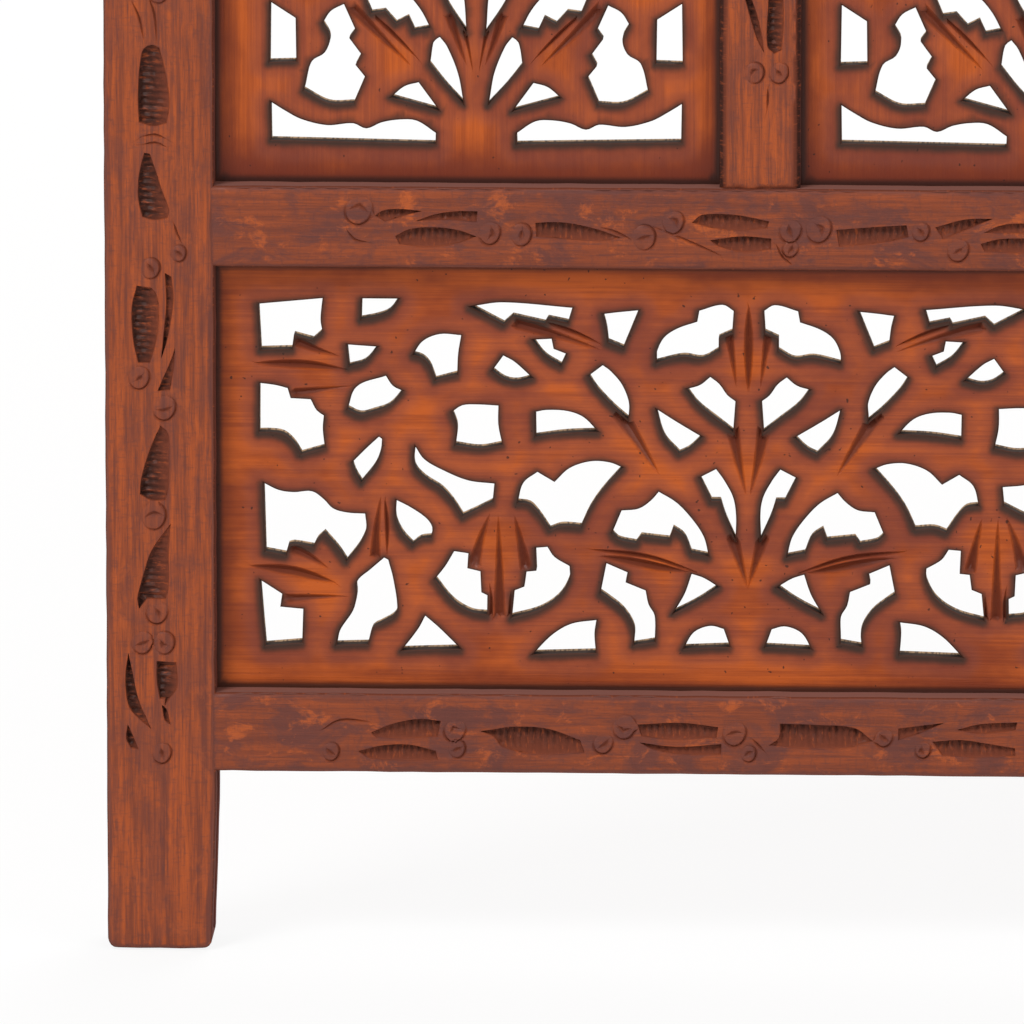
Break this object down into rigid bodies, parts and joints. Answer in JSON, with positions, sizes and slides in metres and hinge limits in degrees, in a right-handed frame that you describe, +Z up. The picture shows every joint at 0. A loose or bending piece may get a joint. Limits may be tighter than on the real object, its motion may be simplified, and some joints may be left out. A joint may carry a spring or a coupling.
{
  "type": "carved folding screen",
  "caption": "Free-standing wooden folding screen of hinged panels, with carved frames, pierced foliage lattices and arched tops, folding in a zigzag to divide a room.",
  "frame": {"origin": "on the floor below the middle of the middle panel", "axes": "+Z up, +X along the outer panels to the right as seen from the carved front, +Y to the back"},
  "size_m": [1.0862, 0.345, 1.65],
  "materials": {
    "frame_wood": "waxed, worn at the edges",
    "lattice_wood": "waxed, sawn and scorched at the cuts",
    "hinge_brass": "dull, aged",
    "screw_steel": "dull"
  },
  "bodies": {
    "left_panel": {"left_panel_left_stile": "frame_wood", "left_panel_right_stile": "frame_wood", "left_panel_bottom_rail": "frame_wood", "left_panel_middle_rail": "frame_wood", "left_panel_upper_rail": "frame_wood", "left_panel_crest_rail": "frame_wood", "left_panel_mullion": "frame_wood", "left_panel_bottom_lattice": "lattice_wood", "left_panel_left_tall_lattice": "lattice_wood", "left_panel_right_tall_lattice": "lattice_wood", "left_panel_top_lattice": "lattice_wood", "left_fold_outer_leaves": "hinge_brass", "left_fold_outer_screws": "screw_steel", "left_fold_pins": "hinge_brass"},
    "middle_panel": {"middle_panel_left_stile": "frame_wood", "middle_panel_right_stile": "frame_wood", "middle_panel_bottom_rail": "frame_wood", "middle_panel_middle_rail": "frame_wood", "middle_panel_upper_rail": "frame_wood", "middle_panel_crest_rail": "frame_wood", "middle_panel_mullion": "frame_wood", "middle_panel_bottom_lattice": "lattice_wood", "middle_panel_left_tall_lattice": "lattice_wood", "middle_panel_right_tall_lattice": "lattice_wood", "middle_panel_top_lattice": "lattice_wood", "left_fold_inner_leaves": "hinge_brass", "left_fold_inner_screws": "screw_steel", "right_fold_inner_leaves": "hinge_brass", "right_fold_inner_screws": "screw_steel"},
    "right_panel": {"right_panel_left_stile": "frame_wood", "right_panel_right_stile": "frame_wood", "right_panel_bottom_rail": "frame_wood", "right_panel_middle_rail": "frame_wood", "right_panel_upper_rail": "frame_wood", "right_panel_crest_rail": "frame_wood", "right_panel_mullion": "frame_wood", "right_panel_bottom_lattice": "lattice_wood", "right_panel_left_tall_lattice": "lattice_wood", "right_panel_right_tall_lattice": "lattice_wood", "right_panel_top_lattice": "lattice_wood", "right_fold_outer_leaves": "hinge_brass", "right_fold_outer_screws": "screw_steel", "right_fold_pins": "hinge_brass"}
  },
  "joints": [
    {"name": "left_fold", "type": "hinge", "parent": "middle_panel", "child": "left_panel", "pos_m": [-0.14137, -0.14468, 0], "axis": [0, 0, 1], "range_deg": [-130, 50]},
    {"name": "right_fold", "type": "hinge", "parent": "middle_panel", "child": "right_panel", "pos_m": [0.14137, 0.14468, 0], "axis": [0, 0, 1], "range_deg": [-130, 50]}
  ]
}
